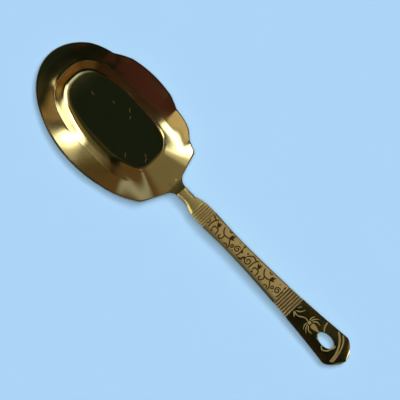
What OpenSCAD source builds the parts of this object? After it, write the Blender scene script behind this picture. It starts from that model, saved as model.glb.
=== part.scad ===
// Rice serving spoon: a shallow pressed sheet bowl with a flared rim, brazed by its tongue
// into a rebate under the stem of a coined handle.
// Millimetres, +Z up, +X from the bowl's tip towards the handle's end.
// The origin is on the table, under the middle of the spoon's box.

/* [Bowl plan] */
// Length of the bowl from its tip to the seam at the neck
bowl_len = 105; // [98:1:118]
// Width of the bowl's oval across its widest section
bowl_w = 65.8; // [58:0.1:78]
// Distance from the bowl's tip to its widest section
bowl_front = 51; // [44:1:56]
// Width across the two shoulder points at the back of the bowl
shoulder_w = 41; // [34:1:48]
// Distance from the -Y shoulder point to the seam
left_shoulder_back = 11.2; // [10:0.1:13]
// Distance from the +Y shoulder point to the seam
right_shoulder_back = 10.2; // [8.5:0.1:12]
// Radius of the two shoulder points
shoulder_r = 1.5; // [0.8:0.1:2.5]
// Distance from the foot of the -Y shoulder edge to the seam
left_throat_len = 2.8; // [2.5:0.1:6]
// Distance from the foot of the +Y shoulder edge to the seam
right_throat_len = 4.6; // [3.5:0.1:6]
// Radius of the throat between a shoulder edge and the tongue
throat_r = 6; // [3:0.5:6]

/* [Bowl section] */
// Thickness of the bowl's sheet
sheet_t = 1.6; // [1:0.1:1.8]
// Height of the rim's underside at the sides
rim_h = 6.7; // [5.5:0.1:12]
// Height of the rim's underside at the tip
tip_h = 5.2; // [4.8:0.1:9]
// Height of the crease between wall and rim at the sides
crease_h = 2.7; // [2.2:0.1:4.5]
// Height of the crease between wall and rim at the tip
tip_crease_h = 4.2; // [3:0.1:4.6]
// Length of the flat floor
floor_len = 60; // [52:1:64]
// Width of the flat floor from the middle line to its -Y edge
left_floor_w = 12.5; // [11:0.1:16]
// Width of the flat floor from the middle line to its +Y edge
right_floor_w = 15.5; // [12:0.1:17]
// Distance from the middle line to the crease at the sides
crease_out = 21.9; // [20:0.1:24]
// Distance from the floor out to the crease at the tip
wall_front = 7.8; // [6:0.1:10]
// Width of the crease between wall and rim
crease_w = 0.9; // [0.6:0.1:1.5]
// Length over which the floor bends up into the ramp to the neck
ramp_bend = 3; // [2:0.1:5]
// Height over which the ramp levels off at the neck
neck_ease = 1.2; // [0.6:0.1:2]
// Rise of the shoulders above the neck
shoulder_rise = 2; // [0:0.1:3]

/* [Rim lobes and dents] */
// How far the +Y edge swells out past the oval between the front and middle dents
lobe_out = 0.6; // [0:0.1:1.5]
// Half the length of that swelling
lobe_l = 36; // [26:1:44]
// Distance from the bowl's tip to the front dent in the rim's edge
front_dent_at = 22.8; // [18:0.1:30]
// Depth of the front dent on the +Y edge
front_dent_d = 2.15; // [0:0.05:3]
// Half the length of the front dent
front_dent_l = 12; // [6:0.5:13]
// Distance from the bowl's tip to the middle dent
middle_dent_at = 71.3; // [60:0.1:76]
// Depth of the middle dent on the +Y edge
middle_dent_d = 1.5; // [0:0.1:3]
// Half the length of the middle dent
middle_dent_l = 9; // [4:0.5:10]
// Distance from the bowl's tip to the back dent
back_dent_at = 89.3; // [84:0.1:91]
// Depth of the back dent on the +Y edge
back_dent_d = 1.5; // [0:0.1:2.2]
// Half the length of the back dent
back_dent_l = 6; // [3:0.5:7]
// Depth to which the dents show on the -Y edge
left_dent_d = 0.2; // [0:0.1:1]
// How far the rim sinks at the deepest dent
dent_sink = 0.8; // [0:0.1:1.5]

/* [Neck joint] */
// Width of the tongue and of the stem over it
neck_w = 6.6; // [5:0.1:9]
// Height of the tongue's underside above the table
neck_h = 10; // [8:0.5:13]
// Length of the lap between tongue and stem
lap_len = 8; // [5:0.5:10]
// Thickness of the braze film in the lap
braze_t = 0.1; // [0.05:0.05:0.3]
// Thickness of the stem's nose at the seam
nose_t = 0.8; // [0.5:0.1:1.2]
// Length of the flat that the tongue has in front of the seam
tongue_flat = 1; // [0.5:0.1:2]

/* [Handle] */
// Length of the handle from the seam to its end
handle_len = 130.6; // [118:0.1:150]
// Thickness of the stem behind the lap
stem_t = 2.6; // [2.4:0.1:3.6]
// Thickness of the handle at its end
end_t = 1.4; // [1.2:0.1:2.5]
// Height that the crowned top stands above the handle's sides
crown_h = 0.5; // [0.2:0.1:0.8]
// Size of the eased lower edges
edge_r = 0.4; // [0.2:0.1:0.6]
// Height of the end's underside above the table
end_h = 6; // [0:0.5:9]
// Rise of the handle's arch between the neck and the end
arch_h = 1.2; // [0:0.1:6]
// Length of the stem that keeps the neck's width
stem_len = 5; // [3:0.5:8]
// Width at the first ribbed band
band_w = 11.1; // [9:0.1:14]
// Distance from the seam to the widest point of the first band
band_at = 16.4; // [14:0.1:18]
// Width at the waist
waist_w = 9.7; // [8:0.1:12]
// Distance from the seam to the waist
waist_at = 40; // [34:1:48]
// Width of the flared end
end_w = 19.6; // [16:0.1:24]
// Length of the blunt point at the end
point_len = 8.6; // [6:0.1:11]

/* [Ribbed bands] */
// Distance from the seam to the first band
front_band_at = 13; // [12:0.1:16]
// Distance from the seam to the second band
rear_band_at = 79.2; // [70:0.1:84]
// Grooves in the first band
front_grooves = 6; // [3:1:7]
// Grooves in the second band
rear_grooves = 6; // [3:1:7]
// Distance from one groove of the first band to the next
front_pitch = 1.53; // [1.2:0.01:1.8]
// Distance from one groove of the second band to the next
rear_pitch = 1.7; // [1.2:0.01:2]
// Depth of the grooves
groove_d = 0.55; // [0.2:0.05:0.6]

/* [Hanging hole] */
// Length of the oval hole
hole_len = 11.4; // [8:0.1:13]
// Width of the oval hole
hole_w = 6.4; // [4.5:0.1:8]
// Distance from the hole's middle to the handle's end
hole_from_end = 15.9; // [15:0.1:20]

/* [Hidden] */

tip_x = -(bowl_len + handle_len) / 2;
seam_x = tip_x + bowl_len;
end_x = seam_x + handle_len;
lap_x = seam_x + lap_len;
mid_x = tip_x + bowl_front;
flat_x = seam_x - tongue_flat;
neck_y = neck_w / 2;
gap = braze_t;

// Shares, angles and counts that fix the mesh of the lofts and shapes that need no size of their own
oval_steps = 52;
fillet_steps = 6;
edge_steps = 4;
wall_rings = 6;
crease_rings = 2;
rim_rings = 5;
bend_rings = 3;
slope_step = 0.05;
front_power = 2.5;
back_power = 3.3;
dent_power = 1.2;
ramp_from = 50;
ramp_to = 16;
tip_bend = 0.85;
rim_curl = 0.05;
crown_share = 0.6;
// Each dent: its place along the spoon, its depth and half its length
dents = [
    [tip_x + front_dent_at, front_dent_d, front_dent_l],
    [tip_x + middle_dent_at, middle_dent_d, middle_dent_l],
    [tip_x + back_dent_at, back_dent_d, back_dent_l]
];
deepest_dent = max(front_dent_d, middle_dent_d, back_dent_d, left_dent_d);

function smooth(t) = let (s = min(max(t, 0), 1)) s * s * (3 - 2 * s);
function bump(t) = let (s = min(max(t, 0), 1)) 16 * s * s * (1 - s) * (1 - s);
function lerp(a, b, t) = a + (b - a) * t;
function unit(v) = v / norm(v);
function ring_oval(a, b, n, th) = pow(pow(abs(cos(th)) / a, n) + pow(abs(sin(th)) / b, n), -1 / n);

// Plan of the bowl: an oval to the shoulders, then straight edges and a throat to the tongue
shoulder_share = shoulder_w / bowl_w;
back_len = (seam_x - left_shoulder_back - mid_x) / sqrt(1 - shoulder_share * shoulder_share);

function shoulder(side) =
    [seam_x - (side > 0 ? right_shoulder_back : left_shoulder_back), shoulder_w / 2];
function foot(side) = [seam_x - (side > 0 ? right_throat_len : left_throat_len), neck_y];
function edge_dir(side) = unit(shoulder(side) - foot(side));

function oval_r(th) = ring_oval(th > 90 ? bowl_front : back_len, bowl_w / 2, 2, th);
function dent_near(x, d) = pow(max(0, 1 - abs(x - d[0]) / d[2]), dent_power);
function right_dent(x) = max([for (d = dents) d[1] * dent_near(x, d)]);
function left_dent(x) = max([for (d = dents) min(d[1], left_dent_d) * dent_near(x, d)]);
function side_dent(x, side) = side > 0 ? right_dent(x) : left_dent(x);
function lobe(x, side) = side > 0 ? lobe_out * smooth(1 - abs(x - mid_x) / lobe_l) : 0;
function oval_point(th, side) =
    let (
        r = oval_r(th),
        x = mid_x + r * cos(th),
        cut = r + lobe(x, side) - side_dent(x, side)
    )
    [mid_x + cut * cos(th), cut * sin(th)];

function throat_points(side) =
    let (
        dir = edge_dir(side),
        angle = atan2(dir[1], dir[0]),
        centre = foot(side) + throat_r / sin(angle / 2) * [cos(angle / 2), sin(angle / 2)]
    )
    [for (i = [0:fillet_steps])
        let (a = lerp(270, angle + 90, i / fillet_steps))
        centre + throat_r * [cos(a), sin(a)]];

function shoulder_points(side) =
    let (
        p = shoulder(side),
        arm = p - [mid_x, 0],
        a = p - shoulder_r * edge_dir(side),
        b = oval_point(atan2(arm[1], arm[0]) + shoulder_r / norm(arm) * 180 / PI, side)
    )
    [for (t = [0:0.25:1]) (1 - t) * (1 - t) * a + 2 * t * (1 - t) * p + t * t * b];

function half_outline(side) =
    let (
        throat = throat_points(side),
        corner = shoulder_points(side),
        first = throat[fillet_steps],
        last = corner[len(corner) - 1],
        th0 = atan2(last[1], last[0] - mid_x)
    )
    concat(
        [[lap_x, neck_y], [lerp(lap_x, throat[0][0], 0.5), neck_y]],
        throat,
        [for (i = [1:edge_steps - 1]) lerp(first, corner[0], i / edge_steps)],
        corner,
        [for (i = [1:oval_steps - 1]) oval_point(lerp(th0, 180, i / oval_steps), side)]
    );

function mirrored(points) = [for (i = [len(points) - 1:-1:0]) [points[i][0], -points[i][1]]];

outline = concat(
    [[lap_x, 0]],
    half_outline(1),
    [[tip_x, 0]],
    mirrored(half_outline(-1))
);

// Section of the bowl: the height of the sheet's underside at any place in the plan
ramp_slope = (neck_h + neck_ease) / (flat_x - mid_x - floor_len / 2 - ramp_bend / 2 - 2 * slope_step);
neck_th = atan2(neck_y, flat_x - mid_x);

function corner_power(th) = th > 90 ? front_power : back_power;
function floor_r(th, side) =
    ring_oval(floor_len / 2, side > 0 ? right_floor_w : left_floor_w, corner_power(th), th);
function crease_r(th) =
    ring_oval(floor_len / 2 + wall_front, crease_out, corner_power(th), th);
function bend_r(th, side) = floor_r(th, side) + 2 * slope_step;
function back_share(th) = smooth((ramp_from - th) / (ramp_from - ramp_to));
function run(d, span, s0, s1) =
    let (e = min(max(d, 0), span)) s0 * e + (s1 - s0) * e * e / (2 * span);

// The wall bends up from the floor, turns at the crease and runs out as a flatter rim
function flared(r, th, side) =
    let (
        aside = smooth((180 - th) / 90),
        corner_h = lerp(tip_crease_h, crease_h, aside),
        start = bend_r(th, side),
        crease = crease_r(th),
        wall = crease - crease_w / 2 - start,
        bend = wall * lerp(tip_bend, 1, aside),
        rise = corner_h / (wall - bend / 2 + crease_w / 2),
        out = oval_r(th) - crease,
        rim = (lerp(tip_h, rim_h, aside) - corner_h) / out,
        steep = rim * (1 + rim_curl),
        slack = rim * (1 - rim_curl)
    )
    run(r - start, bend, 0, rise)
    + rise * min(max(r - start - bend, 0), wall - bend)
    + run(r - crease + crease_w / 2, crease_w, rise, steep)
    + run(r - crease - crease_w / 2, out - crease_w / 2, steep, slack)
    + slack * max(0, r - crease - out);

// The ramp climbs evenly from the floor's back edge and levels off at the neck and the shoulders
function ramped(r, th, side) =
    let (
        reach = r - bend_r(th, side),
        level = neck_h + shoulder_rise * smooth((th - neck_th) / (ramp_to - neck_th)),
        rise = run(reach, ramp_bend, 0, ramp_slope) + ramp_slope * max(0, reach - ramp_bend),
        share = min(max(0.5 + (level - rise) / (2 * neck_ease), 0), 1)
    )
    lerp(level, rise, share) - neck_ease * share * (1 - share);

function under(x, y) =
    let (
        th = atan2(abs(y), x - mid_x),
        r = norm([x - mid_x, y]),
        crease = crease_r(th),
        out = smooth((r - crease) / (oval_r(th) - crease)),
        sunk = dent_sink * side_dent(x, y) / deepest_dent * out
    )
    lerp(flared(r, th, y) - sunk, ramped(r, th, y), back_share(th));

// The sheet is as thick across its slope as on the floor, with its cut edge upright
function over(x, y) =
    let (
        d = slope_step,
        gx = (under(x + d, y) - under(x - d, y)) / (2 * d),
        gy = (under(x, y + d) - under(x, y - d)) / (2 * d)
    )
    under(x, y) + sheet_t * norm([gx, gy, 1]);

function ring_radii(th, side, reach) =
    let (
        a = floor_r(th, side),
        c = crease_r(th),
        c0 = c - crease_w / 2,
        c1 = c + crease_w / 2,
        n = wall_rings + crease_rings + rim_rings,
        wall = concat(
            [for (i = [0:wall_rings - 1]) lerp(a, c0, i / wall_rings)],
            [for (i = [0:crease_rings - 1]) lerp(c0, c1, i / crease_rings)],
            [for (i = [0:rim_rings]) lerp(c1, reach, i / rim_rings)]
        ),
        b = bend_r(th, side) + ramp_bend,
        level = ring_oval(flat_x - mid_x, bowl_w / 2, 2, th),
        last = min(lerp(b, reach, 1 - 1 / n), max(level, lerp(b, reach, 0.5))),
        ramp = concat(
            [for (i = [0:bend_rings - 1]) lerp(a, b, i / bend_rings)],
            [for (i = [0:n - bend_rings - 1]) lerp(b, last, i / (n - bend_rings - 1))],
            [reach]
        )
    )
    [for (i = [0:n]) lerp(wall[i], ramp[i], back_share(th))];

function ray_spots(p) =
    let (
        arm = p - [mid_x, 0],
        th = atan2(abs(arm[1]), arm[0])
    )
    [for (r = ring_radii(th, p[1], norm(arm))) [mid_x, 0] + r * unit(arm)];

module sheet(rays) {
    rows = len(rays);
    cols = len(rays[0]);
    spots = [for (ray = rays, p = ray) p];
    low = [for (p = spots) [p[0], p[1], under(p[0], p[1])]];
    high = [for (p = spots) [p[0], p[1], over(p[0], p[1])]];
    top = rows * cols;
    function at(i, j) = (i % rows) * cols + j;
    faces = concat(
        [[for (i = [0:rows - 1]) at(i, 0)]],
        [[for (i = [rows - 1:-1:0]) top + at(i, 0)]],
        [for (i = [0:rows - 1], j = [0:cols - 2])
            each [[at(i, j), at(i, j + 1), at(i + 1, j + 1)], [at(i, j), at(i + 1, j + 1), at(i + 1, j)]]],
        [for (i = [0:rows - 1], j = [0:cols - 2])
            each [[top + at(i, j), top + at(i + 1, j + 1), top + at(i, j + 1)],
                  [top + at(i, j), top + at(i + 1, j), top + at(i + 1, j + 1)]]],
        [for (i = [0:rows - 1])
            let (a = at(i, cols - 1), b = at(i + 1, cols - 1))
            each [[a, top + a, top + b], [a, top + b, b]]]
    );
    polyhedron(concat(low, high), faces);
}

module bowl() {
    color("goldenrod") sheet([for (p = outline) ray_spots(p)]);
}

// Handle: cross sections along the spoon, crowned on top, flat below
corner_x = end_x - point_len;
waist_x = seam_x + waist_at;
front_x = seam_x + front_band_at;
rear_x = seam_x + rear_band_at;
front_end = front_x + front_grooves * front_pitch;
rear_end = rear_x + rear_grooves * rear_pitch;
flare_power = 1.75;
point_power = 1.5;
crown_power = 2.2;
last_share = 0.995;
crown_steps = 12;

function groove_in(x, start, stop, pitch) =
    x > start && x < stop ? (1 - cos(360 * (x - start) / pitch)) / 2 : 0;
function groove(x) =
    groove_in(x, front_x, front_end, front_pitch) + groove_in(x, rear_x, rear_end, rear_pitch);

function bar_w(x) =
    let (d = x - seam_x)
    d < band_at ? lerp(neck_w, band_w, smooth((d - stem_len) / (band_at - stem_len)))
    : d < waist_at ? lerp(band_w, waist_w, smooth((d - band_at) / (waist_at - band_at)))
    : lerp(waist_w, end_w, pow(min(1, (x - waist_x) / (corner_x - waist_x)), flare_power));
function point_share(x) = max(0, (x - corner_x) / point_len) * last_share;
function handle_y(x) =
    bar_w(x) / 2 * pow(1 - pow(point_share(x), point_power), 1 / point_power) - groove_d / 2 * groove(x);

function handle_under(x) =
    let (s = (x - lap_x) / (end_x - lap_x))
    lerp(neck_h, end_h, smooth(s)) + arch_h * bump(s);
nose_top = sheet_t + braze_t + nose_t;
function handle_top(x) =
    let (s = (x - seam_x) / lap_len)
    lerp(nose_top, lerp(stem_t, end_t, (x - seam_x) / handle_len), smooth(s));
function crown_at(x) =
    lerp(min(crown_h, crown_share * nose_t), crown_h, smooth((x - seam_x) / lap_len));

function handle_section(x) =
    let (
        y = handle_y(x),
        z = handle_under(x),
        top = handle_top(x) - groove_d * groove(x),
        crown = crown_at(x),
        ease = min(edge_r, y / 2)
    )
    concat(
        [for (i = [0:crown_steps])
            let (c = 2 * i / crown_steps - 1)
            [x, c * y, z + top - crown * pow(abs(c), crown_power)]],
        [[x, y, z + ease], [x, y - ease, z], [x, ease - y, z], [x, -y, z + ease]]
    );

function steps(a, b, n) = [for (i = [0:n - 1]) lerp(a, b, i / n)];
groove_steps = 6;
point_steps = 8;
stations = concat(
    steps(seam_x, front_x, 12),
    steps(front_x, front_end, front_grooves * groove_steps),
    steps(front_end, rear_x, 16),
    steps(rear_x, rear_end, rear_grooves * groove_steps),
    steps(rear_end, corner_x, 8),
    [for (i = [0:point_steps]) corner_x + point_len * sin(90 * i / point_steps)]
);

module skin(sections) {
    rows = len(sections);
    cols = len(sections[0]);
    points = [for (s = sections, p = s) p];
    function at(i, j) = i * cols + j % cols;
    faces = concat(
        [[for (j = [0:cols - 1]) at(0, j)]],
        [[for (j = [cols - 1:-1:0]) at(rows - 1, j)]],
        [for (i = [0:rows - 2], j = [0:cols - 1])
            each [[at(i, j), at(i + 1, j), at(i + 1, j + 1)], [at(i, j), at(i + 1, j + 1), at(i, j + 1)]]]
    );
    polyhedron(points, faces);
}

module rebate() {
    translate([seam_x - lap_len, -band_w, neck_h - stem_t])
        cube([2 * lap_len + gap, 2 * band_w, stem_t + sheet_t + braze_t]);
}

module hanging_hole() {
    translate([end_x - hole_from_end, 0, -end_t])
        linear_extrude(neck_h + arch_h + stem_t + 2 * end_t)
            scale([hole_len / hole_w, 1]) circle(d = hole_w, $fn = 64);
}

module handle() {
    color("darkgoldenrod") difference() {
        skin([for (x = stations) handle_section(x)]);
        rebate();
        hanging_hole();
    }
}

// Filler metal between the tongue and the stem's rebate
module braze_seam() {
    color("khaki") union() {
        translate([seam_x, -neck_y, neck_h + sheet_t]) cube([lap_len + gap, neck_w, braze_t]);
        translate([lap_x, -neck_y, neck_h]) cube([gap, neck_w, sheet_t + braze_t]);
    }
}

bowl();
handle();
braze_seam();
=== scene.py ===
"""Looks of a rice serving spoon: a pressed golden bowl brazed under a coined, ornamented handle.

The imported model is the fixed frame. Sizes written here are millimetres and become metres where a
vertex is placed. +X runs from the bowl's tip to the handle's end, and the origin lies on the table.
"""
import logging
import math
from dataclasses import dataclass
from enum import Enum
from typing import Sequence

import bmesh
import bpy
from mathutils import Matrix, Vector


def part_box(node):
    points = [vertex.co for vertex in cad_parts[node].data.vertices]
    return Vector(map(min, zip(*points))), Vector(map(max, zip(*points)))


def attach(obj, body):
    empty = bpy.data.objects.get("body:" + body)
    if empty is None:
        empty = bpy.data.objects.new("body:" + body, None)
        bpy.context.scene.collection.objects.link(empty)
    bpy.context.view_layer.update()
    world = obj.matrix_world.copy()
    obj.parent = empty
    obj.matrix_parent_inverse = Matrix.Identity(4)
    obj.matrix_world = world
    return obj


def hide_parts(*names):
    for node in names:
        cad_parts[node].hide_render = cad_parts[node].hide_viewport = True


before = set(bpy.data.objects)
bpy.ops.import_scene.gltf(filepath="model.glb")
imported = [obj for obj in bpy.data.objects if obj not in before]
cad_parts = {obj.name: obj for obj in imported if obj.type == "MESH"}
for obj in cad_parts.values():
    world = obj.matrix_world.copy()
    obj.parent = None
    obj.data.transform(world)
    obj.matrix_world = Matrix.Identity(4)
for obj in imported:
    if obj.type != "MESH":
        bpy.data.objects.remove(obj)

log = logging.getLogger("spoon")
MM = 0.001
SMOOTH_ANGLE = 40.0
FULL_TURN = 360.0
HALF_TURN = 180.0

Plan = tuple[float, float]
Span = tuple[float, float]
Colour = tuple[float, float, float]
Piece = bpy.types.Object
Socket = bpy.types.NodeSocket
Tree = bpy.types.NodeTree


def lerp(a: float, b: float, t: float) -> float:
    """Goes from a to b as t goes from 0 to 1."""
    return a + (b - a) * t


def smooth(t: float) -> float:
    """Eases from 0 to 1, flat at both ends."""
    s = min(max(t, 0.0), 1.0)
    return s * s * (3 - 2 * s)


def oval_radius(a: float, b: float, power: float, angle: float) -> float:
    """Radius of a superellipse with half axes a and b at an angle."""
    along, across = abs(math.cos(angle)) / a, abs(math.sin(angle)) / b
    return (along**power + across**power) ** (-1 / power)


def rounded_path(points: Sequence[Plan], steps: int) -> list[Plan]:
    """Runs a smooth path through a few points.

    Args:
        points: The points that the path passes through, in order.
        steps: Steps between one point and the next.

    Returns:
        The points of the smooth path, its two ends among them.
    """
    ends = [points[0], *points, points[-1]]
    path: list[Plan] = []
    for a, b, c, d in zip(ends, ends[1:], ends[2:], ends[3:]):
        for i in range(steps):
            t = i / steps
            path.append(tuple(
                0.5 * (2 * q + (r - p) * t + (2 * p - 5 * q + 4 * r - s) * t * t
                       + (3 * q - p - 3 * r + s) * t**3)
                for p, q, r, s in zip(a, b, c, d)))
    return [*path, points[-1]]


# Modelling steps that several pieces share


def deselect() -> None:
    """Leaves edit mode and clears the selection."""
    if bpy.context.object and bpy.context.object.mode != "OBJECT":
        bpy.ops.object.mode_set(mode="OBJECT")
    bpy.ops.object.select_all(action="DESELECT")


def pick(*pieces: Piece) -> None:
    """Selects these objects alone and makes the first the active one.

    Args:
        *pieces: The objects to select.
    """
    deselect()
    for piece in pieces:
        piece.select_set(True)
    bpy.context.view_layer.objects.active = pieces[0]


def named(name: str) -> Piece:
    """Gives the object just added its name.

    Args:
        name: The name of the object and of its data.

    Returns:
        The object.
    """
    piece = bpy.context.active_object
    piece.name = piece.data.name = name
    return piece


def loft(name: str, rings: Sequence[Sequence[Vector]]) -> Piece:
    """Extrudes a filled primitive circle through a row of rings.

    Args:
        name: Name of the new piece.
        rings: Rings with as many points each, in metres.

    Returns:
        The closed piece, in object mode.
    """
    deselect()
    bpy.ops.mesh.primitive_circle_add(vertices=len(rings[0]), radius=1.0, fill_type="NGON")
    piece = named(name)
    bpy.ops.object.mode_set(mode="EDIT")
    mesh = bmesh.from_edit_mesh(piece.data)
    corners = sorted(mesh.verts, key=lambda v: math.atan2(v.co.y, v.co.x) % math.tau)
    for corner, spot in zip(corners, rings[0]):
        corner.co = spot
    bpy.ops.mesh.select_all(action="SELECT")
    for last, ring in zip(rings, rings[1:]):
        places = {tuple(spot): i for i, spot in enumerate(last)}
        bpy.ops.mesh.extrude_region_move()
        mesh = bmesh.from_edit_mesh(piece.data)
        for corner in mesh.verts:
            if corner.select:
                corner.co = ring[places[tuple(corner.co)]]
        bmesh.update_edit_mesh(piece.data)
    bpy.ops.mesh.select_all(action="SELECT")
    bpy.ops.mesh.normals_make_consistent(inside=False)
    bpy.ops.object.mode_set(mode="OBJECT")
    return piece


def apply_modifier(piece: Piece, kind: str, **values: object) -> None:
    """Adds a modifier with these values to a piece and applies it.

    Args:
        piece: The object that is changed.
        kind: Blender's type of the modifier.
        **values: What is set on the modifier.
    """
    pick(piece)
    modifier = piece.modifiers.new(kind.title(), kind)
    for key, value in values.items():
        setattr(modifier, key, value)
    bpy.ops.object.modifier_apply(modifier=modifier.name)


def cut_away(piece: Piece, cutter: Piece) -> None:
    """Takes the cutter's volume out of a piece and removes the cutter.

    Args:
        piece: The object that is changed.
        cutter: The object whose volume is taken out.
    """
    apply_modifier(piece, "BOOLEAN", object=cutter, operation="DIFFERENCE", solver="EXACT")
    pick(cutter)
    bpy.ops.object.delete()


def shade(piece: Piece) -> None:
    """Shades a piece smooth, with its sharper edges left sharp."""
    pick(piece)
    bpy.ops.object.shade_smooth_by_angle(angle=math.radians(SMOOTH_ANGLE))


def round_edges(piece: Piece, width: float, angle: float) -> None:
    """Rounds a piece's sharp edges and shades it smooth.

    Args:
        piece: The object that is changed.
        width: Width of the rounding.
        angle: Edges that turn by more than this many degrees are rounded.
    """
    apply_modifier(piece, "BEVEL", width=width * MM, segments=2, limit_method="ANGLE",
                   angle_limit=math.radians(angle))
    shade(piece)


def ride_root(piece: Piece, slot: str) -> None:
    """Sets a piece on the spoon's one body and reports it with its finish.

    Args:
        piece: The finished piece.
        slot: The finish that the report names.
    """
    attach(piece, "root")
    log.info("%s: %d faces, finish %s", piece.name, len(piece.data.polygons), slot)


# Finishes


class Board:
    """A node tree with short calls that add and wire nodes."""

    def __init__(self, tree: Tree) -> None:
        """Keeps the tree that the calls work on."""
        self.tree = tree

    def add(self, kind: str, inputs: dict[str | int, object] | None = None,
            **settings: object) -> bpy.types.Node:
        """Adds a node.

        Args:
            kind: Blender's type of the node, without its "ShaderNode".
            inputs: Values or sockets for its inputs, by name or place.
            **settings: What is set on the node itself.

        Returns:
            The new node.
        """
        node = self.tree.nodes.new("ShaderNode" + kind)
        for key, value in settings.items():
            setattr(node, key, value)
        self.feed(node, inputs or {})
        return node

    def feed(self, node: bpy.types.Node, inputs: dict[str | int, object]) -> None:
        """Fills a node's inputs.

        Args:
            node: The node to fill.
            inputs: By name or place, a socket to wire or a value to set.
        """
        for key, value in inputs.items():
            if isinstance(value, Socket):
                self.tree.links.new(value, node.inputs[key])
            else:
                node.inputs[key].default_value = value

    def sum(self, operation: str, *terms: object) -> Socket:
        """Does one step of arithmetic on sockets or numbers and returns the result's socket."""
        node = self.add("Math", dict(enumerate(terms)), operation=operation)
        return node.outputs[0]

    def step(self, value: object, low: object, high: object) -> Socket:
        """Eases from 0 at low to 1 at high.

        Args:
            value: What is compared with the two limits.
            low: The limit that gives 0.
            high: The limit that gives 1, which may be the smaller one.

        Returns:
            The result's socket.
        """
        node = self.add("MapRange", {"Value": value, "From Min": low, "From Max": high},
                        interpolation_type="SMOOTHSTEP")
        return node.outputs[0]

    def blend(self, share: object, under: object, over: Colour) -> Socket:
        """Mixes a colour over another.

        Args:
            share: How much of the upper colour shows.
            under: The lower colour or its socket.
            over: The upper colour.

        Returns:
            The result's socket.
        """
        base = under if isinstance(under, Socket) else (*under, 1.0)
        node = self.add("Mix", {0: share, 6: base, 7: (*over, 1.0)}, data_type="RGBA")
        return node.outputs[2]

    def place(self) -> Socket:
        """The place on the object, in metres."""
        return self.add("TexCoord").outputs["Object"]

    def axes(self) -> Sequence[Socket]:
        """The place's X, Y and Z."""
        return self.add("SeparateXYZ", {0: self.place()}).outputs

    def cloud(self, where: object, scale: object, detail: float) -> Socket:
        """Noise from 0 to 1 with so many cells in a metre."""
        node = self.add("TexNoise", {"Vector": where, "Scale": scale, "Detail": detail})
        return node.outputs[0]

    def group(self, tree: Tree, **inputs: object) -> Socket:
        """Places a shared effect with its own values and returns what it gives."""
        node = self.add("Group", inputs, node_tree=tree)
        return node.outputs[0]


class EffectBoard(Board):
    """The board of a shared effect with number inputs and one number output."""

    def __init__(self, name: str, **inputs: float) -> None:
        """Starts the node group.

        Args:
            name: Name of the node group.
            **inputs: Its inputs and what they are by default.
        """
        super().__init__(bpy.data.node_groups.new(name, "ShaderNodeTree"))
        face = self.tree.interface
        for key, value in inputs.items():
            socket = face.new_socket(key, in_out="INPUT", socket_type="NodeSocketFloat")
            socket.default_value = value
        face.new_socket("Mask", in_out="OUTPUT", socket_type="NodeSocketFloat")
        self.given = self.tree.nodes.new("NodeGroupInput").outputs
        self.result = self.tree.nodes.new("NodeGroupOutput").inputs[0]

    def done(self, mask: Socket) -> Tree:
        """Wires the mask to the output and returns the finished group."""
        self.tree.links.new(mask, self.result)
        return self.tree


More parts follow.
